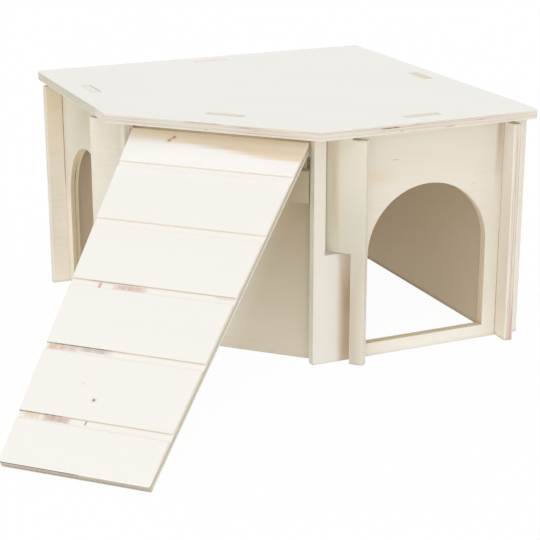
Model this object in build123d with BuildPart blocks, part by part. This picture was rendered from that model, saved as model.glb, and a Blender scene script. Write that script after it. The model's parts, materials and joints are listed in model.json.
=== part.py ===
from build123d import *
import os
from math import cos, radians, sin, sqrt, tan

# Slot-together plywood corner house for a hamster: five wall panels that cross-lap at their ends,
# a five-sided roof that drops over their tabs, and a grooved ramp hooked over a rail on the front wall.
# Frame: origin at the centre of the bounding box's base, +Z up, ramp and front wall facing -Y,
# symmetric about X = 0. All lengths are in millimetres.

# Sheet
ply = 5.0  # thickness of every panel
arris = 0.3  # broken edge along both faces of each panel

# Roof: a square with one corner cut off at 45 degrees
roof_side = 210.0
roof_front = 118.0  # length of the cut-off edge over the front wall
roof_round = 3.0  # radius of its corners

# Walls
wall_height = 122.0
back_inset = 9.5  # outer face of both back walls, inside the roof's edge
side_inset = 10.5  # outer face of both side walls, inside the roof's edge
front_inset = 17.0  # outer face of the front wall, inside the roof's edge
tip_inset = 0.5  # the stubs at the three square corners end this far inside the roof's edge
side_stub = 12.0  # side wall's end past the front wall's outer face
front_stub = 7.5  # front wall's end past its slots
stub_drop = 2.0  # the tops of the stubs stay this far below the roof
lap_height = 60.3  # where two crossing panels meet
lap_clear = 0.2  # each side of a square crossing
miter_clear = 0.4  # each side of a 45 degree crossing
miter_slack = 3.0  # extra room on the outer side of the front wall's slots

# Tabs through the roof
tab_length = 20.0
tab_recess = 0.2  # tab ends below the roof's top face
tab_clear = 0.3  # roof slot, each side of a tab

# Doorways in the side walls
door_height = 83.8  # from the sill to the top of the round arch
door_back_post = 8.3  # wall left between the doorway and the back wall's slot
door_front_post = 11.5  # wall left between the doorway and the front wall's slot
sill_height = 7.3

# Ramp
ramp_angle = 34.0  # slope, in degrees
ramp_foot_half = 36.8  # half width at the foot
ramp_side_clear = 0.35  # each side of its top end, between the side walls' stubs
ramp_end_gap = 6.5  # from the top end to the front wall
ramp_headroom = 3.9  # from the top end's upper edge to the roof's underside
groove_first = 27.4  # first groove, from the foot along the slope
groove_pitch = 38.4
groove_count = 5
groove_width = 4.0
groove_depth = 1.0

# Rail on the front wall and the hooks that hang the ramp on it
rail_side_clear = 0.55  # each end, between the side walls' stubs
rail_height = 17.0
rail_drop = 18.8  # its top edge, below the roof
hook_inset = 9.8  # middle of each hook, from the corner of the ramp's end
hook_side_clear = 4.0  # window in the front wall, each side of a hook
hook_foot = 11.5  # how far the hook's foot reaches down the ramp in front of the rail
lip_depth = 5.0
lip_clear = 0.4  # behind the rail, at the top of the lip
lip_relief = 1.9  # further clearance at the lip's point, so that the ramp can swing up
lip_thickness = 3.0
hook_back = 2.5  # height of the hook's back above the rail, behind the wall's face
hook_neck_back = 2.5  # neck under the ramp's end: distance ahead of the end's lower corner
hook_neck_drop = 1.4  # neck under the ramp's end: distance below that corner
window_below = 8.2  # window's lower edge, under the rail's top
window_above = 9.3  # window's upper edge, over the rail's top

# Derived sizes. A side wall is measured along its outer face, from the roof's back edge.
slope = radians(ramp_angle)
root2 = sqrt(2)
corner_trim = roof_round * (root2 - 1)
roof_depth = root2 * roof_side - roof_front / 2
side_edge = roof_side - roof_front / root2
front_face_on_side = side_edge + side_inset - front_inset * root2
side_stub_end = front_face_on_side + side_stub
stub_half_gap = (roof_side - side_inset - ply - side_stub_end) / root2  # to a stub from the middle
rail_half = stub_half_gap - rail_side_clear
rail_top = wall_height - rail_drop
ramp_end_half = stub_half_gap - ramp_side_clear
ramp_end_top = wall_height - ramp_headroom
ramp_run = (ramp_end_top - ply * cos(slope)) / tan(slope)
ramp_length = ramp_run / cos(slope)
total_depth = roof_depth - front_inset + ramp_end_gap + ramp_run
back_y = (total_depth + corner_trim) / 2  # sharp back corner of the roof
front_y = back_y - roof_depth + front_inset  # outer face of the front wall
ramp_end_y = front_y - ramp_end_gap

# Plan directions and the roof's sharp corners
to_right_back = Vector(1, 1) / root2
to_left_back = Vector(-1, 1) / root2
back_corner = Vector(0, back_y)
right_corner = back_corner - to_left_back * roof_side
left_corner = back_corner - to_right_back * roof_side
front_right = Vector(roof_front / 2, back_y - roof_depth)
front_left = Vector(-roof_front / 2, back_y - roof_depth)

# Each wall's plane: local x runs along the wall as seen from outside, y is up, z points outwards.
front_plane = Plane((0, front_y, 0), x_dir=(1, 0, 0), z_dir=(0, -1, 0))
right_plane = Plane(right_corner + to_left_back * side_inset, x_dir=to_right_back, z_dir=-to_left_back)
back_right_plane = Plane(right_corner - to_right_back * back_inset, x_dir=to_left_back, z_dir=to_right_back)
back_left_plane = Plane(back_corner - to_left_back * back_inset, x_dir=-to_right_back, z_dir=to_left_back)


def wall_profile(left, right, left_step, right_step, tab_at, top_slots, bottom_slots):
    """Face of a wall panel: lowered stubs at both ends, a tab on top and half-height slots."""
    stub_top = wall_height - stub_drop
    tab_top = wall_height + ply - tab_recess
    tab_left, tab_right = tab_at - tab_length / 2, tab_at + tab_length / 2
    with BuildSketch() as profile:
        with BuildLine():
            Polyline(
                (left, 0), (right, 0), (right, stub_top), (right_step, stub_top), (right_step, wall_height),
                (tab_right, wall_height), (tab_right, tab_top), (tab_left, tab_top),
                (tab_left, wall_height), (left_step, wall_height), (left_step, stub_top),
                (left, stub_top), close=True,
            )
        make_face()
        for start, end in top_slots:
            with Locations(((start + end) / 2, (lap_height + wall_height) / 2)):
                Rectangle(end - start, wall_height - lap_height, mode=Mode.SUBTRACT)
        for start, end in bottom_slots:
            with Locations(((start + end) / 2, lap_height / 2)):
                Rectangle(end - start, lap_height, mode=Mode.SUBTRACT)
    return profile.sketch


# Front wall: drops over both side walls, which cross it at 45 degrees.
# Measured from the middle, a side wall's inner face meets the front face nearest, and its outer face
# meets the back face furthest.
side_face_at_front = roof_front / 2 + front_inset - side_inset * root2
cross_near = side_face_at_front - ply * root2 - miter_clear
cross_far = side_face_at_front + ply + miter_clear + miter_slack
front_half = cross_far + front_stub
hook_middle = ramp_end_half - hook_inset
window_half = ply / 2 + hook_side_clear
with BuildPart() as front_wall:
    with BuildSketch(front_plane):
        add(
            wall_profile(
                left=-front_half, right=front_half, left_step=-cross_far, right_step=cross_far, tab_at=0,
                top_slots=[], bottom_slots=[(-cross_far, -cross_near), (cross_near, cross_far)],
            )
        )
        with Locations(
            (-hook_middle, rail_top + (window_above - window_below) / 2),
            (hook_middle, rail_top + (window_above - window_below) / 2),
        ):
            Rectangle(2 * window_half, window_above + window_below, mode=Mode.SUBTRACT)
    extrude(amount=-ply)
    chamfer(front_wall.faces().filter_by(front_plane).edges(), arris)

# Right wall, with local x measured from the roof's back edge: slotted from below over the back wall,
# and from above for the front wall. The doorway fills the stretch between the slots.
front_slot = (
    -(front_face_on_side + ply + miter_clear),
    -(front_face_on_side - ply * root2 - miter_clear),
)
back_slot = (-(back_inset + ply + lap_clear), -(back_inset - lap_clear))
door_front = front_slot[1] + door_front_post
door_back = back_slot[0] - door_back_post
door_radius = (door_back - door_front) / 2
door_spring = sill_height + door_height - door_radius
with BuildPart() as right_wall:
    with BuildSketch(right_plane):
        add(
            wall_profile(
                left=-side_stub_end, right=-tip_inset, left_step=front_slot[0], right_step=-back_inset,
                tab_at=-(side_stub_end + tip_inset) / 2, top_slots=[front_slot], bottom_slots=[back_slot],
            )
        )
        with BuildLine():
            Polyline(
                (door_front, door_spring), (door_front, sill_height), (door_back, sill_height),
                (door_back, door_spring),
            )
            CenterArc(((door_front + door_back) / 2, door_spring), door_radius, 0, 180)
        make_face(mode=Mode.SUBTRACT)
    extrude(amount=-ply)
    chamfer(right_wall.faces().filter_by(right_plane).edges(), arris)

with BuildPart() as left_wall:
    add(mirror(right_wall.part, about=Plane.YZ))

# Back walls: both slotted from above where a side wall drops over them. At the back corner the left
# one drops over the right one.
side_crossing = (side_inset - lap_clear, side_inset + ply + lap_clear)
corner_crossing = (back_inset - lap_clear, back_inset + ply + lap_clear)
far_crossing = (roof_side - corner_crossing[1], roof_side - corner_crossing[0])
far_side_crossing = (roof_side - side_crossing[1], roof_side - side_crossing[0])
with BuildPart() as back_right_wall:
    with BuildSketch(back_right_plane):
        add(
            wall_profile(
                left=tip_inset, right=roof_side - tip_inset, left_step=side_crossing[0],
                right_step=far_crossing[1], tab_at=roof_side / 2,
                top_slots=[side_crossing, far_crossing], bottom_slots=[],
            )
        )
    extrude(amount=-ply)
    chamfer(back_right_wall.faces().filter_by(back_right_plane).edges(), arris)

with BuildPart() as back_left_wall:
    with BuildSketch(back_left_plane):
        add(
            wall_profile(
                left=tip_inset, right=roof_side - tip_inset, left_step=back_inset,
                right_step=far_side_crossing[1], tab_at=roof_side / 2,
                top_slots=[far_side_crossing], bottom_slots=[corner_crossing],
            )
        )
    extrude(amount=-ply)
    chamfer(back_left_wall.faces().filter_by(back_left_plane).edges(), arris)

# Roof, with a slot over each wall's tab
slot_length = tab_length + 2 * tab_clear
slot_width = ply + 2 * tab_clear
side_tab = (side_stub_end + tip_inset) / 2
roof_slots = [
    (Vector(0, front_y + ply / 2), 0),
    (right_corner + to_left_back * (side_inset + ply / 2) - to_right_back * side_tab, 45),
    (left_corner + to_right_back * (side_inset + ply / 2) - to_left_back * side_tab, -45),
    (right_corner - to_right_back * (back_inset + ply / 2) + to_left_back * (roof_side / 2), -45),
    (left_corner - to_left_back * (back_inset + ply / 2) + to_right_back * (roof_side / 2), 45),
]
with BuildPart() as roof:
    with BuildSketch(Plane.XY.offset(wall_height)) as roof_face:
        with BuildLine():
            Polyline(back_corner, left_corner, front_left, front_right, right_corner, close=True)
        make_face()
        fillet(roof_face.vertices(), roof_round)
        for centre, turn in roof_slots:
            with Locations(Location((centre.X, centre.Y), turn)):
                Rectangle(slot_length, slot_width, mode=Mode.SUBTRACT)
    extrude(amount=ply)
    chamfer(roof.faces().filter_by(Plane.XY).edges(), arris)

# Ramp: a tapered board with cross grooves. Its plane's local x is across, y runs up the slope from
# the foot, and z stands out of the top face.
foot_y = ramp_end_y - ramp_run
ramp_plane = Plane(
    (0, foot_y, ply * cos(slope)), x_dir=(1, 0, 0), z_dir=(0, -sin(slope), cos(slope))
)
ramp_spare = ply  # length beyond the top end, trimmed off upright
taper = (ramp_end_half - ramp_foot_half) / ramp_length
spare_half = ramp_end_half + taper * ramp_spare
groove_middle = groove_first + groove_pitch * (groove_count - 1) / 2 - groove_width / 2
with BuildPart() as ramp:
    with BuildSketch(ramp_plane):
        with BuildLine():
            Polyline(
                (-ramp_foot_half, 0), (ramp_foot_half, 0), (spare_half, ramp_length + ramp_spare),
                (-spare_half, ramp_length + ramp_spare), close=True,
            )
        make_face()
    extrude(amount=-ply)
    with BuildSketch(ramp_plane):
        with Locations((0, groove_middle)):
            with GridLocations(0, groove_pitch, 1, groove_count):
                Rectangle(2 * spare_half, groove_width)
    extrude(amount=-groove_depth, mode=Mode.SUBTRACT)
    split(bisect_by=Plane((0, ramp_end_y, 0), x_dir=(1, 0, 0), z_dir=(0, -1, 0)), keep=Keep.TOP)

# Rail across the front wall, between the stubs of the side walls
with BuildPart() as ramp_rail:
    with BuildSketch(front_plane):
        with Locations((0, rail_top - rail_height / 2)):
            Rectangle(2 * rail_half, rail_height)
    extrude(amount=ply)
    chamfer(ramp_rail.faces().filter_by(front_plane).edges(), arris)

# Hooks under the ramp's top end. Each sits on the rail, and its lip drops behind the rail through a
# window in the front wall. Profile: y out from the front wall (negative is outside), z up from the
# rail's top back edge, where the ramp swings.
under_at_wall = ramp_end_top + ramp_end_gap * tan(slope) - ply / cos(slope) - rail_top


def under_ramp(y):
    """Height of the ramp's underside over the rail's top, at y from the front wall's face."""
    return under_at_wall + y * tan(slope)


hook_start = -(ply + hook_foot)
hook_profile = [
    (hook_start, under_ramp(hook_start)),
    (hook_start, 0),
    (lip_clear, 0),
    (lip_clear + lip_relief, -lip_depth),
    (lip_clear + lip_relief + lip_thickness, -lip_depth),
    (lip_clear + lip_relief + lip_thickness, hook_back),
    (-ramp_end_gap + hook_neck_back, under_ramp(-ramp_end_gap) - hook_neck_drop),
    (-ramp_end_gap, under_ramp(-ramp_end_gap)),
]


def ramp_hook(middle):
    """One hook, cut from the same sheet and standing upright under the ramp."""
    side = Plane((middle - ply / 2, front_y, rail_top), x_dir=(0, 1, 0), z_dir=(1, 0, 0))
    with BuildPart() as hook:
        with BuildSketch(side):
            with BuildLine():
                Polyline(*hook_profile, close=True)
            make_face()
        extrude(amount=ply)
    return hook.part


ramp_hook_left = ramp_hook(-hook_middle)
ramp_hook_right = ramp_hook(hook_middle)

nodes = {
    "roof": roof.part,
    "front_wall": front_wall.part,
    "left_wall": left_wall.part,
    "right_wall": right_wall.part,
    "back_left_wall": back_left_wall.part,
    "back_right_wall": back_right_wall.part,
    "ramp": ramp.part,
    "ramp_rail": ramp_rail.part,
    "ramp_hook_left": ramp_hook_left,
    "ramp_hook_right": ramp_hook_right,
}
os.makedirs("parts", exist_ok=True)
for name, solid in nodes.items():
    solid.label = name
    export_step(solid, f"parts/{name}.step")
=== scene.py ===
"""Wooden hamster house: its boards' edges and finish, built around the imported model, and a plain studio."""

import json
import math

import bmesh
import bpy
import numpy as np
from mathutils import Matrix, Vector
from mathutils.geometry import delaunay_2d_cdt

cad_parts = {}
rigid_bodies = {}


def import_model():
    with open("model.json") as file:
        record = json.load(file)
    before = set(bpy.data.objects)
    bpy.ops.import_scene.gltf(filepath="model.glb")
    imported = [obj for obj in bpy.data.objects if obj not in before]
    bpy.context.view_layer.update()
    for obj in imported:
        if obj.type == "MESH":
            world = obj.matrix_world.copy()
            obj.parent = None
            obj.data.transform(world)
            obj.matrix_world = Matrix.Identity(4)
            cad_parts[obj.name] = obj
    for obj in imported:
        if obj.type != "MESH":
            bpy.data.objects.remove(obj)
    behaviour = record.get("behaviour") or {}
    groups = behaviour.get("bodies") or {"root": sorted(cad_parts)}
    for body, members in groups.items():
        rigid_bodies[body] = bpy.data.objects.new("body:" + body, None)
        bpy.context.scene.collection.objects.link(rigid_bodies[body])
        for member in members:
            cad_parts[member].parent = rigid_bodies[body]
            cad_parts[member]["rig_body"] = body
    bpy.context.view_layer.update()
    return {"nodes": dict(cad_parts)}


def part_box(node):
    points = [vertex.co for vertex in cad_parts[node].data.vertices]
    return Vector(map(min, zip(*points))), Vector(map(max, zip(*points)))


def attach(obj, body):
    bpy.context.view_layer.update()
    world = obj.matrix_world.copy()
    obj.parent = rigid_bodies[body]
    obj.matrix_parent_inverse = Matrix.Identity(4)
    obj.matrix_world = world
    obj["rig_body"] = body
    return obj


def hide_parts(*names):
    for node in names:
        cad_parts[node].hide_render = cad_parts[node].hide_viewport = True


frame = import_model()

bl_info = {
    "name": "Wooden hamster house",
    "version": (1, 0, 0),
    "blender": (4, 5, 0),
    "location": "3D View > Sidebar > Hamster House",
    "description": "Builds the plywood boards of a slot-together hamster house around its packed model",
    "category": "Object",
}

MM = 0.001
MIX_A, MIX_B, MIX_RESULT = 6, 7, 2  # colour sockets of a Mix node
INSIDE_WITHOUT_HOLES = 2  # what delaunay_2d_cdt keeps
SAME_POINT = 1e-7  # corners closer than this are one
ON_PLANE = 0.01  # a corner this near to a plane lies on it, in mm
ROUND_STEPS = 4  # points in the quarter round of a broken edge
SMOOTH_BELOW = math.radians(32)  # edges that turn more than this stay sharp
FACE_ON = 0.9999  # cosine above which a face looks along a direction
RAMP_STATIONS, RAMP_COLUMNS = 52, 15  # how finely the ramp's top is divided, along it and across it

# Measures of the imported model, in mm, and its ramp's slope
SHEET = (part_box("roof")[1].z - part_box("roof")[0].z) / MM
RAMP_GROOVE_DEPTH = 1.0
RAMP_SLOPE = math.radians(34)
RAMP_SIN, RAMP_COS = math.sin(RAMP_SLOPE), math.cos(RAMP_SLOPE)

# The sheet's look. A cover is how much of the wood under it a feature hides, from 0 to 1.
GLUE_GROOVE = 0.3  # depth of the groove along a glue line, in widths of the line
COLOUR_DRIFT = (-24.0, 40.0)  # mm across the board: only left colour up to here, only right one from here
WANDER = 0.12  # how far the plies wander up and down, in plies
STREAK_COVER = 0.12
PALE_STREAK_COVER = 0.03  # on the palest boards, the roof and the ramp
FIGURE_SHARE = 0.8  # cover of the broad figure, as a share of the streaks' cover
HEART_COVER, GLUE_COVER, GAP_COVER, RING_COVER = 0.45, 0.5, 0.35, 0.5
KNOT_RING = "E6AE7C"
RING_REACH = 2.6  # radius of a knot's ring, in radii of the knot
MARK_REACH = 1.1  # where a mark has faded out, in half sizes
MOTTLED_FROM, MOTTLED_TO = 0.3, 0.9  # a mark whose full share is in between is broken up by mottle
ROUGHNESS = 0.62
FIBRE_STRENGTH, FIBRE_HEIGHT = 0.25, 0.15  # the raised fibres' bump, and its height in mm

# The stage, in metres
FLOOR_HALF, TABLE_SIDE = 6.0, 1.2
FLOOR_WHITE = 0.96  # share of plain white in the floor where the camera sees it
SENSOR_WIDTH = 36  # mm
CAMERA_AT = (0.29976, -0.74029, 0.30023)
CAMERA_ANGLES = (-20.90, 18.256, -0.03)  # azimuth, elevation and roll in degrees

# Which way each board faces, and which way is up along it. Across is up x out.
BOARD_DIRECTIONS = {
    "roof": ((0, 0, 1), (0, 1, 0)),
    "front_wall": ((0, -1, 0), (0, 0, 1)),
    "right_wall": ((1, -1, 0), (0, 0, 1)),
    "left_wall": ((-1, -1, 0), (0, 0, 1)),
    "back_right_wall": ((1, 1, 0), (0, 0, 1)),
    "back_left_wall": ((-1, 1, 0), (0, 0, 1)),
    "ramp_rail": ((0, -1, 0), (0, 0, 1)),
    "ramp_hook_left": ((-1, 0, 0), (0, 0, 1)),
    "ramp_hook_right": ((1, 0, 0), (0, 0, 1)),
    "ramp": ((0, -RAMP_SIN, RAMP_COS), (0, RAMP_COS, RAMP_SIN)),
}

# Pin knots on the ramp: across, up, radius in mm, and how dark
RAMP_KNOTS = (
    (-4.8, 38.2, 0.8, 0.9),
    (-13.3, 46.2, 0.7, 0.15),
    (-23.3, 199.8, 0.9, 0.7),
    (-24.3, 198.8, 0.6, 0.4),
    (-25.3, 197.4, 0.9, 0.7),
)

# Marks in the wood, and painted light and shade, on faces and on cut edges: middle (across, up, depth) and
# half size in mm, colour, strength, and the share of the half size at which the mark is full
TAB_TOPS = ((0.0, 127.6, 2.5), (200.0, 1.8, 4.0), "EADFC6", 0.6, 0.75)
PALE_TAB_TOPS = ((0.0, 127.6, 2.5), (200.0, 1.8, 4.0), "F1E9DF", 0.9, 0.9)
# The back walls' inner faces, darker and warmer: partly the veneer, partly painted shade inside the house
INNER_FACE = ((0.0, 63.0, 5.0), (85.0, 90.0, 1.0), "D6C6AA", 0.95, 0.95)
MARKS = {
    "ramp": (
        # Groove floors paler, a painted light against their shade;
        # groove walls tan, partly the cut wood's colour and partly painted shade
        ((0.0, 110.0, 1.2), (80.0, 96.0, 0.3), "FCFAF6", 0.35, 0.92),
        ((0.0, 108.0, 0.5), (80.0, 96.0, 0.45), "D2BE98", 0.6, 0.92),
        # Stains on the groove floors, then dark lines along the groove walls:
        # painted shade under the grooves' upper steps
        ((-19.0, 25.9, 1.2), (7.6, 1.6, 0.4), "C49A8C", 0.75, 0.5),
        ((-31.4, 25.9, 1.2), (4.8, 1.6, 0.4), "EAD3AC", 0.7, 0.5),
        ((-4.4, 26.2, 1.2), (0.35, 1.3, 0.4), "7C6C58", 0.9, 0.6),
        ((-36.8, 64.2, 1.2), (3.2, 1.8, 0.4), "D6A878", 0.75, 0.4),
        ((-29.4, 64.2, 1.2), (6.0, 1.5, 0.4), "D8A488", 0.7, 0.4),
        ((-15.8, 64.6, 1.2), (9.6, 1.2, 0.4), "B4A694", 0.65, 0.4),
        ((-27.5, 102.2, 1.2), (0.9, 2.0, 0.4), "D08C74", 0.7, 0.5),
        ((-11.6, 102.4, 1.2), (9.5, 1.6, 0.4), "D6AA9C", 0.75, 0.5),
        ((37.8, 103.4, 1.2), (5.8, 0.9, 0.4), "E4CCBC", 0.4, 0.5),
        ((-29.0, 27.9, 0.5), (14.0, 1.2, 0.45), "6E5436", 0.75, 0.6),
        ((-23.0, 66.3, 0.5), (18.0, 1.2, 0.45), "5A4026", 0.85, 0.6),
        ((-20.0, 104.7, 0.5), (16.0, 1.2, 0.45), "8A5C3C", 0.5, 0.4),
        # Dark plies and gaps in the foot's cut edge
        ((-19.0, 0.0, 0.75), (21.0, 0.8, 0.38), "4E3E2C", 0.95, 0.92),
        ((18.0, 0.0, 0.9), (24.0, 0.8, 0.25), "7A6850", 0.7, 0.92),
        ((0.0, 0.0, 1.95), (44.0, 0.8, 0.22), "7E6A50", 0.7, 0.6),
        ((0.0, 0.0, 2.95), (44.0, 0.8, 0.22), "8A745A", 0.65, 0.6),
        ((0.0, 0.0, 3.9), (44.0, 0.8, 0.24), "7A6850", 0.7, 0.6),
        # Less painted shade on the groove walls of the upper half, and painted light over the top part;
        # then painted warm shade under the roof's edge, which widens to the right
        ((0.0, 158.0, 0.5), (80.0, 46.0, 0.45), "F6EEDF", 0.55, 0.92),
        ((0.0, 197.0, 0.0), (80.0, 30.0, 0.5), "FFFFFF", 0.8, 0.0),
        ((146.0, 200.8, 0.0), (120.0, 10.0, 0.5), "ECDCC4", 1.0, 0.9),
        ((134.0, 202.5, 0.0), (120.0, 10.0, 0.5), "ECDCC4", 1.0, 0.9),
        ((118.0, 204.5, 0.0), (120.0, 10.0, 0.5), "ECDCC4", 1.0, 0.9),
        ((100.0, 206.5, 0.0), (120.0, 10.0, 0.5), "F6E8D2", 1.0, 0.9),
        ((0.0, 208.0, 0.0), (90.0, 10.0, 0.5), "FFF4E0", 1.0, 0.9),
    ),
    "roof": (
        # Gaps and brown plies in the front edge
        ((-4.0, 0.0, 0.75), (10.5, 0.8, 0.22), "AE8478", 0.75, 0.75),
        ((18.7, 0.0, 1.35), (2.8, 0.8, 0.3), "B08A68", 0.6, 0.6),
        ((-2.5, 0.0, 3.8), (0.8, 0.8, 0.3), "A89C8C", 0.6, 0.75),
        # A scorched patch in the right edge, and painted shade on the left edge, which faces away
        # from the light
        ((86.4, 27.3, 1.7), (4.2, 4.2, 0.32), "7A4A34", 0.85, 0.6),
        ((95.0, 36.0, 1.7), (5.0, 5.0, 0.25), "C0A48C", 0.5, 0.6),
        ((90.8, 31.8, 3.8), (0.5, 0.5, 0.3), "5A4030", 0.8, 0.6),
        ((-113.0, 45.0, 2.5), (42.0, 42.0, 2.3), "C4C1AE", 0.7, 0.92),
        ((-113.0, 45.0, 1.6), (42.0, 42.0, 0.2), "A09C88", 0.6, 0.5),
        ((-113.0, 45.0, 3.3), (42.0, 42.0, 0.2), "A09C88", 0.5, 0.5),
    ),
    "front_wall": (
        # Painted shade under the ramp, darkest up at the right behind the rail; then the stub past the lap,
        # with the lap's painted shade and the stub's light edge
        ((52.0, 110.0, 0.0), (50.0, 120.0, 0.5), "A4906C", 0.85, 0.0),
        ((67.5, 63.0, 0.0), (11.0, 80.0, 0.5), "E2DCCB", 1.0, 0.95),
        ((66.0, 68.0, 0.0), (24.0, 36.0, 0.5), "C8C6B6", 0.5, 0.0),
        ((67.5, 20.0, 0.0), (11.0, 52.0, 0.5), "C7BEAC", 0.9, 0.2),
        ((60.2, 100.0, 0.0), (3.7, 48.0, 0.5), "BA965E", 0.42, 0.0),
        ((68.2, 26.0, 0.0), (2.0, 32.0, 0.5), "FFF8E6", 0.85, 0.2),
        # The strip between the windows and the roof, paler and warmer: painted light in the shaded
        # gap under the roof
        ((0.0, 115.5, 0.0), (52.0, 6.0, 0.5), "F8E8CC", 0.9, 0.92),
        TAB_TOPS,
    ),
    "right_wall": (
        # Scratches above the doorway
        ((-15.9, 105.7, 0.0), (3.0, 0.3, 0.5), "A08E72", 0.5, 0.4),
        ((-24.0, 97.5, 0.0), (10.0, 6.5, 0.5), "DCC2A0", 0.35, 0.0),
        ((30.9, 88.2, 0.0), (0.6, 0.3, 0.5), "8A7A62", 0.6, 0.5),
        # The doorway's cut edge, and a dark line at the lap's notch: painted shade of the gap under the lap
        ((2.4, 42.0, 2.5), (44.0, 48.0, 2.3), "E2D0AA", 0.6, 0.95),
        ((30.0, 45.0, 3.3), (12.0, 36.0, 0.25), "9C7850", 0.6, 0.5),
        ((-48.5, 60.4, 0.0), (7.5, 1.1, 0.5), "4A3420", 0.85, 0.92),
        # Pale stub, the shade beside it, the pale lower part, and the shade beside the far stub
        ((-56.0, 16.0, 0.0), (14.0, 66.0, 0.5), "E6E1D9", 0.9, 0.2),
        ((-42.6, 22.0, 0.0), (6.4, 48.0, 0.5), "A8824A", 0.68, 0.2),
        ((10.0, -8.0, 0.0), (60.0, 36.0, 0.5), "F4EFE6", 0.8, 0.0),
        ((46.0, 127.0, 0.0), (2.6, 50.0, 0.5), "A87C40", 0.5, 0.0),
        TAB_TOPS,
    ),
    "left_wall": (
        # The doorway's cut edge, with one nearly black line; then the shade under the roof
        ((-2.4, 42.0, 2.5), (44.0, 48.0, 2.3), "DCC8A0", 0.75, 0.95),
        ((-30.0, 45.0, 2.7), (12.0, 36.0, 0.4), "4A321C", 0.9, 0.5),
        ((-30.0, 45.0, 1.4), (12.0, 36.0, 0.2), "A08458", 0.6, 0.5),
        ((10.0, 127.0, 0.0), (80.0, 88.0, 0.5), "BEB59C", 0.8, 0.0),
        PALE_TAB_TOPS,
    ),
    "back_left_wall": (
        INNER_FACE,
        # The yellower top of the stub
        ((100.0, 127.0, 5.0), (14.0, 75.0, 1.0), "E4CFA2", 0.55, 0.0),
        PALE_TAB_TOPS,
    ),
    "back_right_wall": (
        # The stub past the lap, and the plies in its end
        ((-100.0, 40.0, 5.0), (12.0, 100.0, 1.0), "EBE2D2", 0.95, 0.3),
        ((-104.5, 63.0, 1.7), (0.8, 70.0, 1.1), "E6D4C4", 0.5, 0.6),
        ((-104.5, 63.0, 2.6), (0.8, 70.0, 0.24), "B08C78", 0.65, 0.5),
        ((-104.5, 63.0, 1.0), (0.8, 70.0, 0.22), "B08C78", 0.6, 0.5),
        ((-104.5, 0.0, 1.4), (0.8, 26.0, 1.2), "B07E64", 0.5, 0.1),
        INNER_FACE,
        TAB_TOPS,
    ),
}


# ---- Sizes and colours that a user would change ----


def srgb(hex_colour):
    """Linear red, green, blue and alpha of an sRGB hex colour such as 'F0E8D8'."""
    channels = np.array([int(hex_colour[i : i + 2], 16) for i in (0, 2, 4)]) / 255
    linear = np.where(channels <= 0.04045, channels / 12.92, ((channels + 0.055) / 1.055) ** 2.4)
    return (*linear.tolist(), 1.0)


def length(name, description, default_mm):
    """A length property, shown in Blender's own units and held in metres."""
    return bpy.props.FloatProperty(
        name=name,
        description=description,
        default=default_mm * MM,
        subtype="DISTANCE",
        unit="LENGTH",
        precision=5,
    )


def colour(name, description, hex_colour):
    """A colour property, with its default written as an sRGB hex value."""
    return bpy.props.FloatVectorProperty(
        name=name, description=description, default=srgb(hex_colour), size=4, subtype="COLOR", min=0, max=1
    )


class PlywoodSettings(bpy.types.PropertyGroup):
    """The sheet that every board is cut from."""

    inner_ply: length("Inner ply", "Thickness of each of the sheet's three inner plies", 0.93)
    glue: length("Glue line", "Width of the brown line between two plies", 0.18)
    arris: length("Broken edge", "Radius sanded on the boards' edges", 0.3)
    grain: length("Grain width", "Distance across the grain from one streak to the next", 2.2)
    roof: colour("Roof", "Palest outer veneer, on the roof", "F0EEE8")
    ramp: colour("Ramp", "Outer veneer of the ramp", "F3F0EA")
    left_wall: colour("Left wall", "Outer veneer of the left side wall", "F0EADC")
    right_wall: colour("Right wall", "Outer veneer of the right side wall", "E4DED0")
    # The front wall is darker to the right: partly the sheet's own tone, partly painted shade from the ramp
    front_left: colour("Front wall, left", "Outer veneer at the front wall's left end", "E8E2D4")
    front_right: colour("Front wall, right", "Outer veneer over the rest of the front wall", "DAD3C2")
    # Rail and hooks darker than the other boards: partly their veneer, partly painted shade under the ramp
    rail: colour("Rail and hooks", "Outer veneer of the rail and hooks that hang the ramp", "B5A98D")
    back_left: colour("Back left wall", "Outer veneer of the back left wall", "F0E9DC")
    back_right: colour("Back right wall", "Outer veneer of the back right wall", "F5F2EC")
    # Inner faces warmer and darker than the outer veneers, partly painted shade for the house's inside
    inside: colour("Inner face", "Warmer veneer on the boards' inner faces", "E7DAC1")
    streak: colour("Grain streak", "Darker streaks in the outer veneer", "CDB78E")
    cut: colour("Cut edge", "Plies where the board is cut along their grain", "E4DDD1")
    crossed: colour("Cross-laid ply", "Plies where the board is cut across their grain", "DDD4C5")
    ramp_edge: colour("Ramp's edge", "Grey, handled plies on the ramp's cut edges", "C2BBA9")
    heart: colour("Heartwood", "Thin pink-brown layers in the inner plies", "CCB0A0")
    glue_line: colour("Glue", "Line between two plies on a cut edge", "8A7258")
    knot: colour("Pin knot", "Small dark knots", "5A3A20")


class StageSettings(bpy.types.PropertyGroup):
    """Floor, light and camera."""

    floor: colour("Floor", "Pale floor that the house stands on", "FAFAFA")
    key: bpy.props.FloatProperty(
        name="Key light", description="Strength of the main light, from the front and above", default=0.45
    )
    fill: bpy.props.FloatProperty(
        name="Fill light", description="Strength of the broad light from the front, low down", default=0.15
    )
    room: bpy.props.FloatProperty(
        name="Room light", description="Strength of the even light from all round", default=0.84
    )
    table: bpy.props.FloatProperty(
        name="Table light", description="Strength of the light that the white table gives off", default=0.26
    )
    lens: bpy.props.FloatProperty(
        name="Lens", description="Focal length on a 36 mm sensor", default=103.15, subtype="DISTANCE_CAMERA"
    )


# ---- Boards as surfaces ----


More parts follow.
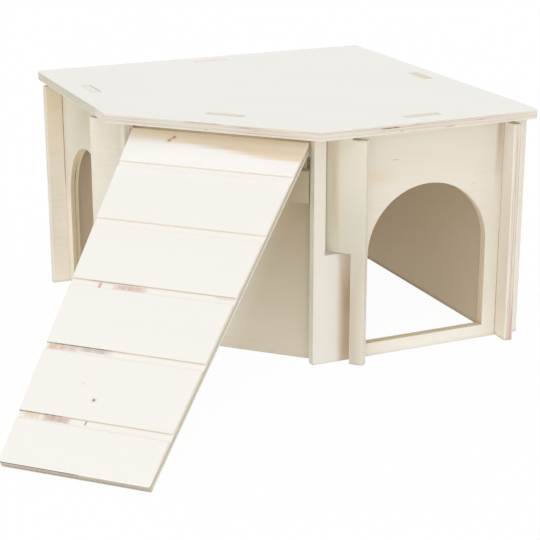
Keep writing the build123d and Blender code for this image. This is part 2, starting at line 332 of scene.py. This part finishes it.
def board_place(node):
    """Where a board lies: a 4x4 matrix in metres whose columns are across, up and out. Its origin is on the
    outer face, midway across and at the bottom."""
    out, up = (np.array(v, float) / np.linalg.norm(v) for v in BOARD_DIRECTIONS[node])
    axes = np.column_stack((np.cross(up, out), up, out))
    local = node_corners(node) @ axes
    low, high = local.min(0), local.max(0)
    place = np.eye(4)
    place[:3, :3] = axes
    place[:3, 3] = axes @ ((low[0] + high[0]) / 2, low[1], high[2])
    return place


def node_corners(node):
    """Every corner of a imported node, in metres."""
    mesh = frame["nodes"][node].data
    corners = np.empty(3 * len(mesh.vertices), np.float32)
    mesh.vertices.foreach_get("co", corners)
    return corners.reshape(-1, 3).astype(float)


def on_board(node, place):
    """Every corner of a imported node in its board's own mm: across, up and out."""
    return (node_corners(node) - place[:3, 3]) @ place[:3, :3] / MM


def outlines(node, local):
    """Closed outlines of a board's outer face, as (across, up) in mm. They run anticlockwise round the
    outside and clockwise round a hole.

    They are the sides that only one of the face's triangles has. Each corner knows the corner before it, and
    that hop is doubled again and again. This gives every corner its outline's first corner and how many sides
    lie between the two.
    """
    corners, merged = np.unique(np.round(local, 3), axis=0, return_inverse=True)
    mesh = frame["nodes"][node].data
    mesh.calc_loop_triangles()
    triangles = np.empty(3 * len(mesh.loop_triangles), np.int32)
    mesh.loop_triangles.foreach_get("vertices", triangles)
    triangles = merged.reshape(-1)[triangles].reshape(-1, 3)
    triangles = triangles[(np.abs(corners[triangles, 2]) < ON_PLANE).all(1)]
    start, end = triangles.ravel(), np.roll(triangles, -1, axis=1).ravel()
    single = ~np.isin(start * len(corners) + end, end * len(corners) + start)
    used, start = np.unique(start[single], return_inverse=True)
    before = np.empty(len(used), int)
    before[np.searchsorted(used, end[single])] = start
    numbers = np.arange(len(used))
    doublings = range(len(used).bit_length())
    first, hop = numbers.copy(), before.copy()
    for _ in doublings:
        first, hop = np.minimum(first, first[hop]), hop[hop]
    is_first = first == numbers
    steps, hop = np.where(is_first, 0, 1), np.where(is_first, numbers, before)
    for _ in doublings:
        steps, hop = steps + steps[hop], hop[hop]
    order = np.lexsort((steps, first))
    cuts = np.flatnonzero(np.diff(first[order])) + 1
    return [corners[used[part], :2] for part in np.split(order, cuts)]


def divided(outline, spacing):
    """The outline with its long sides divided evenly, at most spacing apart."""
    side = np.roll(outline, -1, axis=0) - outline
    pieces = np.maximum(1, np.ceil(np.linalg.norm(side, axis=1) / spacing)).astype(int)
    owner = np.repeat(np.arange(len(outline)), pieces)
    along = (np.arange(len(owner)) - (np.cumsum(pieces) - pieces)[owner]) / pieces[owner]
    return outline[owner] + side[owner] * along[:, None]


def miters(outline):
    """Outward step at each corner of an outline that moves both its sides by one."""
    side = np.roll(outline, -1, axis=0) - outline
    normal = np.column_stack((side[:, 1], -side[:, 0])) / np.linalg.norm(side, axis=1)[:, None]
    before = np.roll(normal, 1, axis=0)
    return (normal + before) / (1 + (normal * before).sum(1))[:, None]


def edge_profile(thickness):
    """A sheet's edge as (outward, depth) in mm, from the outer face to the inner one: a quarter round at each
    face, and a shallow groove along each glue line, where the glue was sanded away."""
    settings = bpy.context.scene.hamster_plywood
    arris, ply, glue = (value / MM for value in (settings.arris, settings.inner_ply, settings.glue))
    turn = np.linspace(0, math.pi / 2, ROUND_STEPS)
    round_over = np.column_stack((arris * np.sin(turn) - arris, arris * (1 - np.cos(turn))))
    lines = thickness / 2 - ply * np.array([1.5, 0.5])
    groove = np.array([(0, -glue / 2), (-GLUE_GROOVE * glue, 0), (0, glue / 2)])
    grooves = (groove + np.column_stack((0 * lines, lines))[:, None]).reshape(-1, 2)
    upper = np.vstack((round_over, grooves))
    return np.vstack((upper, upper[::-1] * (1, -1) + (0, thickness)))


def make_mesh(name, corners, faces, out):
    """A mesh from an array of corners in metres and a list of faces. The faces that look along out are the
    sheet's own, so they stay flat, and the rest are smooth."""
    mesh = bpy.data.meshes.new(name)
    mesh.from_pydata(corners, [], faces)
    tidy = bmesh.new()
    tidy.from_mesh(mesh)
    bmesh.ops.remove_doubles(tidy, verts=tidy.verts, dist=SAME_POINT)
    bmesh.ops.recalc_face_normals(tidy, faces=tidy.faces)
    tidy.to_mesh(mesh)
    tidy.free()
    mesh.set_sharp_from_angle(angle=SMOOTH_BELOW)
    normals = np.empty(3 * len(mesh.polygons), np.float32)
    mesh.polygons.foreach_get("normal", normals)
    is_flat = np.abs(normals.reshape(-1, 3) @ out) > FACE_ON
    mesh.polygons.foreach_set("use_smooth", ~is_flat)
    return mesh


def add_piece(node, place, corners, faces):
    """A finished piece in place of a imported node. Its corners are in the board's own mm, and are moved to
    where the board lies."""
    world = corners * MM @ place[:3, :3].T + place[:3, 3]
    piece = bpy.data.objects.new(node + "_board", make_mesh(node + "_board", world, faces, place[:3, 2]))
    bpy.context.scene.collection.objects.link(piece)
    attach(piece, frame["nodes"][node]["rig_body"])
    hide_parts(node)
    return piece


def cut_board(node, spacing=4.0):
    """A flat board: its edge is the edge profile carried round each of its outlines, and its two flat faces
    fill the outlines."""
    place = board_place(node)
    local = on_board(node, place)
    thickness = -local[:, 2].min()
    loops = [divided(loop, spacing) for loop in outlines(node, local)]
    if not loops:
        raise RuntimeError(f"{node}: no outline was found on its outer face")
    profile = edge_profile(thickness)
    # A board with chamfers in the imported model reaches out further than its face's outline.
    profile[:, 0] += (np.ptp(local[:, 0]) - np.ptp(np.vstack(loops)[:, 0])) / 2
    corners, faces, flat_points, flat_loops = [], [], [], []
    count = 0
    for loop in loops:
        ring = loop[None] + profile[:, :1, None] * miters(loop)[None]
        depth = np.broadcast_to(-profile[:, 1:, None], (*ring.shape[:2], 1))
        corners.append(np.concatenate((ring, depth), axis=2).reshape(-1, 3))
        grid = count + np.arange(ring.shape[0] * ring.shape[1]).reshape(ring.shape[:2])
        after = np.roll(grid, -1, axis=1)
        faces += np.stack((grid[:-1], grid[1:], after[1:], after[:-1]), axis=-1).reshape(-1, 4).tolist()
        flat_loops.append((np.arange(len(loop)) + sum(map(len, flat_points))).tolist())
        flat_points.append(ring[0])
        count += grid.size
    points, _, fill, *_ = delaunay_2d_cdt(
        np.vstack(flat_points).tolist(), [], flat_loops, INSIDE_WITHOUT_HOLES, SAME_POINT
    )
    points = np.array([tuple(point) for point in points])
    fill = np.array(fill)
    for depth, turn in ((0, 1), (-thickness, -1)):
        corners.append(np.column_stack((points, np.full(len(points), depth))))
        faces += (count + fill[:, ::turn]).tolist()
        count += len(points)
    return add_piece(node, place, np.vstack(corners), faces), place


def cut_ramp():
    """The ramp: its cross-section carried up the slope. The section is as wide as the taper gives at that
    point. Its top sinks by the grooves' depth where they run, and it leans over to the upright cut at the top
    end."""
    place = board_place("ramp")
    local = on_board("ramp", place)
    thickness = -local[:, 2].min()
    top, floor = (local[np.abs(local[:, 2] + depth) < ON_PLANE] for depth in (0, RAMP_GROOVE_DEPTH))
    top_end, top_half = top[:, 1].max(), top[:, 0].max()
    foot_half = top[top[:, 1] < ON_PLANE, 0].max()
    groove_sides = np.unique(np.round(floor[:, 1], 2)).reshape(-1, 2)

    # Stations up the slope, as distance and how deep the top is sunk, with soft shoulders at each groove
    arris = bpy.context.scene.hamster_plywood.arris / MM
    low, high = groove_sides[:, 0], groove_sides[:, 1]
    soft = arris * np.array([(-1.0, 0.0), (-0.5, 0.1), (-0.1, 0.45), (0.05, 1.0)])
    shoulder = np.column_stack((soft[:, 0], np.where(soft[:, 1] < arris, soft[:, 1], RAMP_GROOVE_DEPTH)))
    down = np.column_stack((low, 0 * low))[:, None] + shoulder
    back_up = np.column_stack((high, 0 * high))[:, None] + shoulder * (-1, 1)
    plain = np.linspace(0, top_end, RAMP_STATIONS)
    inside = (plain[:, None] > low - 2 * arris) & (plain[:, None] < high + 2 * arris)
    plain = plain[~inside.any(1)]
    stations = np.vstack((down.reshape(-1, 2), back_up.reshape(-1, 2), np.column_stack((plain, 0 * plain))))
    stations = stations[np.argsort(stations[:, 0])]
    along, sunk = stations.T

    # The section, anticlockwise seen from the foot: (share of half width, outward, depth)
    side = edge_profile(thickness)
    across = np.linspace(-1, 1, RAMP_COLUMNS)[1:-1]
    flat = np.column_stack((across, 0 * across, 0 * across))
    right = np.column_stack((np.ones(len(side)), side))
    left = right[::-1] * (-1, -1, 1)
    under = flat[::-1] + (0, 0, thickness)
    section = np.vstack((flat, right, under, left))
    half = foot_half + (top_half - foot_half) * along / top_end
    u = section[:, 0] * half[:, None] + section[:, 1]
    w = -np.maximum(section[:, 2], sunk[:, None])
    last = high.max() + 2 * arris
    lean = np.clip((along - last) / (top_end - last), 0, 1)[:, None]
    v = along[:, None] + lean * w * math.tan(RAMP_SLOPE)

    # The foot's own broken edge: the first ring shrinks by the arris, a quarter round away.
    turn = np.linspace(0, math.pi / 2, ROUND_STEPS)[:-1, None]
    middle = np.array([0, -thickness / 2])
    ring = np.column_stack((u[0], w[0]))
    inward = np.sign(middle - ring) * (np.abs(middle - ring) > np.abs(middle - ring).max(0) - 1.5 * arris)
    rounded = ring + inward * (arris * (1 - np.sin(turn)))[:, None]
    u, w = np.vstack((rounded[..., 0], u)), np.vstack((rounded[..., 1], w))
    rise = np.broadcast_to(arris * (1 - np.cos(turn)), (len(turn), len(ring)))
    v = np.vstack((rise, np.maximum(v, arris)))

    corners = np.stack((u, v, w), axis=-1)
    grid = np.arange(u.size).reshape(u.shape)
    after = np.roll(grid, -1, axis=1)
    faces = np.stack((grid[:-1], after[:-1], after[1:], grid[1:]), axis=-1).reshape(-1, 4).tolist()
    faces += [grid[0][::-1].tolist(), grid[-1].tolist()]
    return add_piece("ramp", place, corners.reshape(-1, 3), faces), place


# ---- Materials ----


def add_node(tree, kind, inputs=(), **settings):
    """Adds one shader node. Settings are its own properties; inputs pairs a socket with a value or a link."""
    node = tree.nodes.new("ShaderNode" + kind)
    for name, value in settings.items():
        setattr(node, name, value)
    for socket, value in dict(inputs).items():
        if isinstance(value, bpy.types.NodeSocket):
            tree.links.new(value, node.inputs[socket])
        else:
            node.inputs[socket].default_value = value
    return node


def maths(tree, operation, *values):
    """The result of a Math node."""
    return add_node(tree, "Math", enumerate(values), operation=operation).outputs[0]


def vector_maths(tree, operation, *values, output=0):
    """The result of a Vector Math node."""
    return add_node(tree, "VectorMath", enumerate(values), operation=operation).outputs[output]


def board_point(tree, place):
    """Where a shaded point lies on its board: across, up and out in mm, from the board's own origin."""
    where = add_node(tree, "TexCoord").outputs["Object"]
    turn = Matrix(place[:3, :3].tolist()).to_euler()
    mapping = {"Vector": where, "Location": place[:3, 3], "Rotation": turn, "Scale": (MM, MM, MM)}
    return add_node(tree, "Mapping", mapping, vector_type="TEXTURE").outputs["Vector"]


def noise(tree, point, widths, seed, detail=2.0):
    """Smooth noise from 0 to 1, whose patches are that many mm wide across, up and out."""
    scale = [1 / width for width in widths]
    offset = (seed, 1.7 * seed, 2.3 * seed)
    moved = vector_maths(tree, "MULTIPLY_ADD", point, scale, offset)
    return add_node(tree, "TexNoise", {"Vector": moved, "Scale": 1.0, "Detail": detail}).outputs["Fac"]


def share(tree, value, low, high):
    """Rises smoothly from 0, where value is low, to 1, where it is high; low may be the larger of the two."""
    limits = {"Value": value, "From Min": low, "From Max": high}
    return add_node(tree, "MapRange", limits, interpolation_type="SMOOTHSTEP").outputs["Result"]


def product(tree, *factors):
    """All the factors multiplied together."""
    result = factors[0]
    for factor in factors[1:]:
        result = maths(tree, "MULTIPLY", result, factor)
    return result


def over(tree, under, colour, cover):
    """A colour laid over another one, covering it by a share."""
    colours = {0: cover, MIX_A: under, MIX_B: colour}
    return add_node(tree, "Mix", colours, data_type="RGBA").outputs[MIX_RESULT]


def marked(tree, tone, point, marks, mottle):
    """The tone with each mark laid over it. A mark covers a box whose sides are soft. Some marks are
    in the wood, and some are painted light and shade.
    """
    for (mid_u, mid_v, mid_depth), half, stain, strong, full in marks:
        away = vector_maths(tree, "SUBTRACT", point, (mid_u, mid_v, -mid_depth))
        away = vector_maths(tree, "ABSOLUTE", vector_maths(tree, "DIVIDE", away, half))
        sides = add_node(tree, "SeparateXYZ", {0: away}).outputs
        most = maths(tree, "MAXIMUM", maths(tree, "MAXIMUM", sides[0], sides[1]), sides[2])
        broken_up = mottle if MOTTLED_FROM < full < MOTTLED_TO else 1.0
        cover = product(tree, share(tree, most, MARK_REACH, full), broken_up, strong)
        tone = over(tree, tone, srgb(stain), cover)
    return tone


def knotted(tree, tone, point, outside, knots, dark):
    """The tone with each pin knot laid over it on the outer face: a dark eye in an orange ring."""
    flat = vector_maths(tree, "MULTIPLY", point, (1, 1, 0))
    for knot_u, knot_v, radius, strong in knots:
        away = vector_maths(tree, "DISTANCE", flat, (knot_u, knot_v, 0), output="Value")
        ring = share(tree, away, RING_REACH * radius, 0.8 * radius)
        eye = share(tree, away, radius, 0.4 * radius)
        tone = over(tree, tone, srgb(KNOT_RING), product(tree, ring, outside, RING_COVER * strong))
        tone = over(tree, tone, dark, product(tree, eye, outside, strong))
    return tone


def plywood(node, place, seed, left, right, back, knots=()):
    """Five-ply basswood, rotary cut and sanded, with no finish: pale and matt, with faint long streaks across
    the face, thin pink-brown layers in the inner plies, and brown glue lines on every cut edge. The outer
    face drifts from one colour at the left to another at the right."""
    settings = bpy.context.scene.hamster_plywood
    ply, glue, grain = (value / MM for value in (settings.inner_ply, settings.glue, settings.grain))
    material = bpy.data.materials.new(f"sanded basswood plywood, {node}")
    material.use_nodes = True
    tree = material.node_tree
    shader = tree.nodes["Principled BSDF"]
    point = board_point(tree, place)
    across, _, out = add_node(tree, "SeparateXYZ", {0: point}).outputs

    # Plies out from the sheet's middle: the middle one ends at 0.5, the cross-laid one at 1.5. Both wander.
    wander = maths(tree, "MULTIPLY_ADD", noise(tree, point, (30, 30, 60), seed), WANDER, -WANDER / 2)
    middle = maths(tree, "ABSOLUTE", maths(tree, "ADD", out, SHEET / 2))
    depth = maths(tree, "SUBTRACT", SHEET / 2, middle)
    plies = maths(tree, "MULTIPLY_ADD", middle, 1 / ply, wander)
    off_line = maths(tree, "PINGPONG", maths(tree, "SUBTRACT", plies, 0.5), 0.5)

    # Face veneers: streaks run across the board, over a broad slow figure.
    streak_cover = PALE_STREAK_COVER if node in ("roof", "ramp") else STREAK_COVER
    outside = share(tree, out, -SHEET / 2 - 0.1, -SHEET / 2 + 0.1)
    tone = over(tree, left, right, share(tree, across, *COLOUR_DRIFT))
    tone = over(tree, back, tone, outside)
    fibres = noise(tree, point, (80, grain, grain), seed + 3)
    figure = noise(tree, point, (170, 26, 26), seed + 5, detail=3)
    streaks = product(tree, share(tree, fibres, 0.45, 0.8), streak_cover)
    broad = product(tree, share(tree, figure, 0.42, 0.75), FIGURE_SHARE * streak_cover)
    tone = over(tree, over(tree, tone, settings.streak, streaks), settings.streak, broad)

    # The ramp's grooves end within its outer veneer, so its edge colour starts below them.
    if node == "ramp":
        start, cut, crossed_tone = 1.05, settings.ramp_edge, settings.ramp_edge
    else:
        start, cut, crossed_tone = 0.15, settings.cut, settings.crossed
    tone = over(tree, tone, cut, share(tree, depth, start, start + 0.2))
    within = share(tree, depth, start + 0.15, start + 0.35)

    # Inner plies: the cross-laid ones are a little darker, and thin layers of heartwood run along them all.
    layers = noise(tree, point, (26, 26, 0.7), seed + 7)
    zones = noise(tree, point, (34, 34, 30), seed + 9, detail=1)
    heart = product(tree, share(tree, layers, 0.42, 0.66), share(tree, zones, 0.38, 0.62), HEART_COVER)
    crossed = product(tree, share(tree, plies, 0.45, 0.55), share(tree, plies, 1.55, 1.45))
    tone = over(tree, tone, crossed_tone, product(tree, crossed, within))
    tone = over(tree, tone, settings.heart, product(tree, heart, within))

    # Glue lines: each is dark in some places and hardly shows in others. A gap beside one shows as a dash.
    strength = share(tree, noise(tree, point, (34, 34, 1.2), seed + 11, detail=1), 0.35, 0.65)
    line = share(tree, off_line, 0.8 * glue / ply, 0.25 * glue / ply)
    line = product(tree, line, within, strength, GLUE_COVER)
    tone = over(tree, tone, settings.glue_line, line)
    gap = share(tree, noise(tree, point, (13, 13, 2.4), seed + 13, detail=1), 0.7, 0.76)
    gap = product(tree, gap, share(tree, off_line, 0.34, 0.2), within, GAP_COVER)
    tone = over(tree, tone, settings.knot, gap)

    # Marks, some of them painted light and shade, and knots lie over it all. Mottle breaks a mark up
    # along the grain.
    mottle = share(tree, noise(tree, point, (1.3, 12, 12), seed + 15), 0.2, 0.62)
    mottle = maths(tree, "MULTIPLY_ADD", mottle, 0.6, 0.4)
    tone = marked(tree, tone, point, MARKS.get(node, ()), mottle)
    tone = knotted(tree, tone, point, outside, knots, settings.knot)
    tree.links.new(tone, shader.inputs["Base Color"])

    # Sanded wood is matt. Its fibres stand up a little on the faces, and not on the cut edges.
    shader.inputs["Roughness"].default_value = ROUGHNESS
    raised = noise(tree, point, (9, 0.5, 0.5), seed + 17)
    on_face = product(tree, share(tree, depth, 0.5, 0.2), FIBRE_STRENGTH)
    bump = add_node(tree, "Bump", {"Height": raised, "Strength": on_face, "Distance": FIBRE_HEIGHT * MM})
    tree.links.new(bump.outputs[0], shader.inputs["Normal"])
    return material


def seen_directly(tree):
    """1 for a ray from the camera, or one that a mirror or glass passes on, and 0 for light on its way."""
    path = add_node(tree, "LightPath").outputs
    kinds = maths(tree, "MAXIMUM", path["Is Camera Ray"], path["Is Glossy Ray"])
    return maths(tree, "MAXIMUM", kinds, path["Is Transmission Ray"])


def dress(piece, material):
    """Gives a piece its one material."""
    piece.data.materials.clear()
    piece.data.materials.append(material)


# ---- Operators ----


class HAMSTER_OT_roof(bpy.types.Operator):
    """Cut the roof, with its rounded corners and the slots for the walls' tabs"""

    bl_idname = "hamster.roof"
    bl_label = "Roof"

    def execute(self, context):
        colours = context.scene.hamster_plywood
        piece, place = cut_board("roof")
        dress(piece, plywood("roof", place, 1, colours.roof, colours.roof, colours.inside))
        return {"FINISHED"}


class HAMSTER_OT_side_walls(bpy.types.Operator):
    """Cut the two side walls, with their arched doorways"""

    bl_idname = "hamster.side_walls"
    bl_label = "Side walls"

    def execute(self, context):
        colours = context.scene.hamster_plywood
        veneers = {"left_wall": colours.left_wall, "right_wall": colours.right_wall}
        for seed, (node, veneer) in enumerate(veneers.items(), 21):
            piece, place = cut_board(node)
            dress(piece, plywood(node, place, seed, veneer, veneer, colours.inside))
        return {"FINISHED"}


class HAMSTER_OT_back_walls(bpy.types.Operator):
    """Cut the two back walls"""

    bl_idname = "hamster.back_walls"
    bl_label = "Back walls"

    def execute(self, context):
        colours = context.scene.hamster_plywood
        veneers = {"back_left_wall": colours.back_left, "back_right_wall": colours.back_right}
        for seed, (node, veneer) in enumerate(veneers.items(), 31):
            piece, place = cut_board(node)
            dress(piece, plywood(node, place, seed, veneer, veneer, veneer))
        return {"FINISHED"}


class HAMSTER_OT_front_wall(bpy.types.Operator):
    """Cut the front wall, behind the ramp"""

    bl_idname = "hamster.front_wall"
    bl_label = "Front wall"

    def execute(self, context):
        colours = context.scene.hamster_plywood
        piece, place = cut_board("front_wall")
        veneers = colours.front_left, colours.front_right, colours.inside
        dress(piece, plywood("front_wall", place, 41, *veneers))
        return {"FINISHED"}


class HAMSTER_OT_ramp(bpy.types.Operator):
    """Plane the tapered ramp with its grooves"""

    bl_idname = "hamster.ramp"
    bl_label = "Ramp"

    def execute(self, context):
        colours = context.scene.hamster_plywood
        piece, place = cut_ramp()
        veneers = colours.ramp, colours.ramp, colours.cut
        dress(piece, plywood("ramp", place, 51, *veneers, knots=RAMP_KNOTS))
        return {"FINISHED"}


class HAMSTER_OT_rail_and_hooks(bpy.types.Operator):
    """Cut the rail on the front wall and the two hooks that hang the ramp on it"""

    bl_idname = "hamster.rail_and_hooks"
    bl_label = "Rail and hooks"

    def execute(self, context):
        colours = context.scene.hamster_plywood
        for seed, node in ((61, "ramp_rail"), (62, "ramp_hook_left"), (63, "ramp_hook_right")):
            piece, place = cut_board(node)
            dress(piece, plywood(node, place, seed, colours.rail, colours.rail, colours.inside))
        return {"FINISHED"}


class HAMSTER_OT_stage(bpy.types.Operator):
    """Lay the floor and set up the light and the camera"""

    bl_idname = "hamster.stage"
    bl_label = "Stage"

    def execute(self, context):
        settings = context.scene.hamster_stage
        signs = ((-1, -1), (1, -1), (1, 1), (-1, 1))
        mesh = bpy.data.meshes.new("floor")
        mesh.from_pydata([(x * FLOOR_HALF, y * FLOOR_HALF, 0) for x, y in signs], [], [(0, 1, 2, 3)])
        floor = bpy.data.objects.new("floor", mesh)
        context.scene.collection.objects.link(floor)

        # Matt white paper: soft pale shadows and no highlight, and it runs into the white behind it unseen.
        material = bpy.data.materials.new("matt paper floor")
        material.use_nodes = True
        tree = material.node_tree
        shader = tree.nodes["Principled BSDF"]
        shader.inputs["Base Color"].default_value = settings.floor
        shader.inputs["Roughness"].default_value = 0.9
        white = add_node(tree, "Emission", {"Color": (1, 1, 1, 1), "Strength": 1.0})
        seen = product(tree, seen_directly(tree), FLOOR_WHITE)
        mix = add_node(tree, "MixShader", {0: seen, 1: shader.outputs[0], 2: white.outputs[0]})
        tree.links.new(mix.outputs[0], tree.nodes["Material Output"].inputs["Surface"])
        dress(floor, material)

        world = bpy.data.worlds.new("room")
        context.scene.world = world
        world.use_nodes = True
        tree = world.node_tree
        room = tree.nodes["Background"]
        room.inputs["Color"].default_value = (1, 1, 1, 1)
        room.inputs["Strength"].default_value = settings.room
        white = add_node(tree, "Background", {"Color": (1, 1, 1, 1), "Strength": 1.0})
        mix = add_node(tree, "MixShader", {0: seen_directly(tree), 1: room.outputs[0], 2: white.outputs[0]})
        tree.links.new(mix.outputs[0], tree.nodes["World Output"].inputs["Surface"])

        for name, strength, breadth, direction in (
            ("key", settings.key, 30, (0.10, -0.45, 0.88)),
            ("fill", settings.fill, 60, (0.40, -0.88, 0.25)),
        ):
            light = bpy.data.lights.new(name, "SUN")
            light.energy = strength
            light.angle = math.radians(breadth)
            lamp = bpy.data.objects.new(name, light)
            lamp.rotation_euler = Vector(direction).to_track_quat("Z", "Y").to_euler()
            context.scene.collection.objects.link(lamp)

        # The table glows a little, as white acrylic does, and lights the boards from just above the floor.
        light = bpy.data.lights.new("table", "AREA")
        light.size = TABLE_SIDE
        light.energy = settings.table * math.pi * TABLE_SIDE**2
        lamp = bpy.data.objects.new("table", light)
        lamp.location.z = 0.3 * MM
        lamp.rotation_euler.x = math.pi
        lamp.visible_camera = False
        context.scene.collection.objects.link(lamp)

        camera = bpy.data.objects.new("camera", bpy.data.cameras.new("camera"))
        context.scene.collection.objects.link(camera)
        camera.data.lens = settings.lens
        camera.data.sensor_width = SENSOR_WIDTH
        camera.data.clip_start = 0.01
        camera.location = CAMERA_AT
        azimuth, elevation, roll = (math.radians(angle) for angle in CAMERA_ANGLES)
        level = math.cos(elevation)
        look = Vector((math.sin(azimuth) * level, math.cos(azimuth) * level, -math.sin(elevation)))
        turn = look.to_track_quat("-Z", "Y").to_matrix() @ Matrix.Rotation(roll, 3, "Z")
        camera.rotation_euler = turn.to_euler()
        context.scene.camera = camera
        context.scene.view_settings.view_transform = "Standard"
        return {"FINISHED"}


class HAMSTER_PT_house(bpy.types.Panel):
    """Lists the house's operators"""

    bl_label = "Hamster House"
    bl_idname = "HAMSTER_PT_house"
    bl_space_type = "VIEW_3D"
    bl_region_type = "UI"
    bl_category = "Hamster House"

    def draw(self, context):
        for operator in OPERATORS:
            self.layout.operator(operator.bl_idname)


OPERATORS = (
    HAMSTER_OT_roof,
    HAMSTER_OT_side_walls,
    HAMSTER_OT_back_walls,
    HAMSTER_OT_front_wall,
    HAMSTER_OT_ramp,
    HAMSTER_OT_rail_and_hooks,
    HAMSTER_OT_stage,
)
CLASSES = (PlywoodSettings, StageSettings, *OPERATORS, HAMSTER_PT_house)


def register():
    for cls in CLASSES:
        bpy.utils.register_class(cls)
    bpy.types.Scene.hamster_plywood = bpy.props.PointerProperty(type=PlywoodSettings)
    bpy.types.Scene.hamster_stage = bpy.props.PointerProperty(type=StageSettings)


def unregister():
    del bpy.types.Scene.hamster_plywood
    del bpy.types.Scene.hamster_stage
    for cls in reversed(CLASSES):
        bpy.utils.unregister_class(cls)


def main():
    register()
    bpy.ops.hamster.roof()
    bpy.ops.hamster.side_walls()
    bpy.ops.hamster.back_walls()
    bpy.ops.hamster.front_wall()
    bpy.ops.hamster.ramp()
    bpy.ops.hamster.rail_and_hooks()
    bpy.ops.hamster.stage()


if __name__ == "__main__":
    main()
